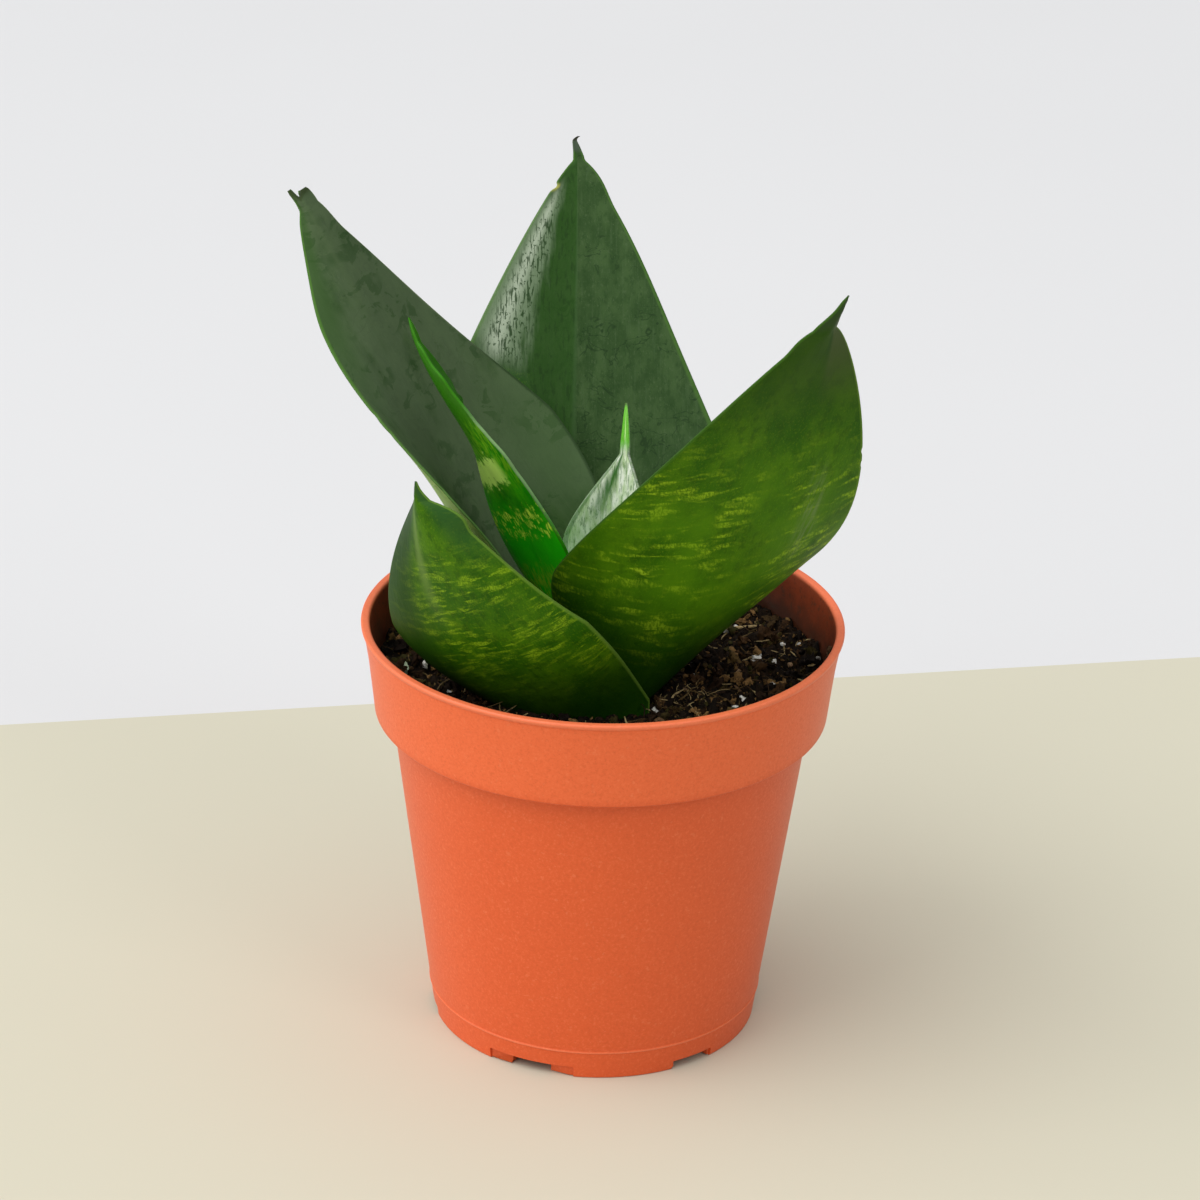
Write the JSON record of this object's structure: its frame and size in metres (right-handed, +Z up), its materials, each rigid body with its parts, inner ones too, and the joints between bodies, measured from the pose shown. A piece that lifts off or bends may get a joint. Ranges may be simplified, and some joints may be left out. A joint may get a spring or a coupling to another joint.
{
  "type": "potted snake plant",
  "caption": "Small snake plant with broad pointed leaves in a rosette, growing in soil in a thin-walled tapered plastic nursery pot with a deep collar.",
  "frame": {"origin": "middle of the whole plant's footprint box, on the surface the pot stands on; the pot's axis is 7.8 mm along +X and -5.7 mm along Y from it", "axes": "+Z up along the pot's axis; -Y towards the viewer of the picture; +X to that viewer's right"},
  "size_m": [0.1242, 0.1194, 0.193],
  "materials": {
    "pot_plastic": "moulded terracotta-coloured polypropylene, satin matte with a fine grain",
    "potting_mix": "dark moist peat mix with brown fibres and white perlite grains, rough",
    "leaf_dark": "smooth waxy dark grey-green upper face with a soft sheen and faint darker bands",
    "leaf_banded": "waxy mid-green underside with irregular pale yellow-green speckled bands",
    "leaf_young": "waxy bright green with cream and yellow flecks",
    "leaf_spear": "waxy light green with a silvery sheen and a dark middle stripe"
  },
  "bodies": {
    "root": {"pot": "pot_plastic", "soil": "potting_mix", "leaf_back": "leaf_dark", "leaf_left": "leaf_dark", "leaf_right": "leaf_banded", "leaf_front": "leaf_banded", "leaf_young": "leaf_young", "leaf_spear": "leaf_spear"}
  },
  "joints": []
}
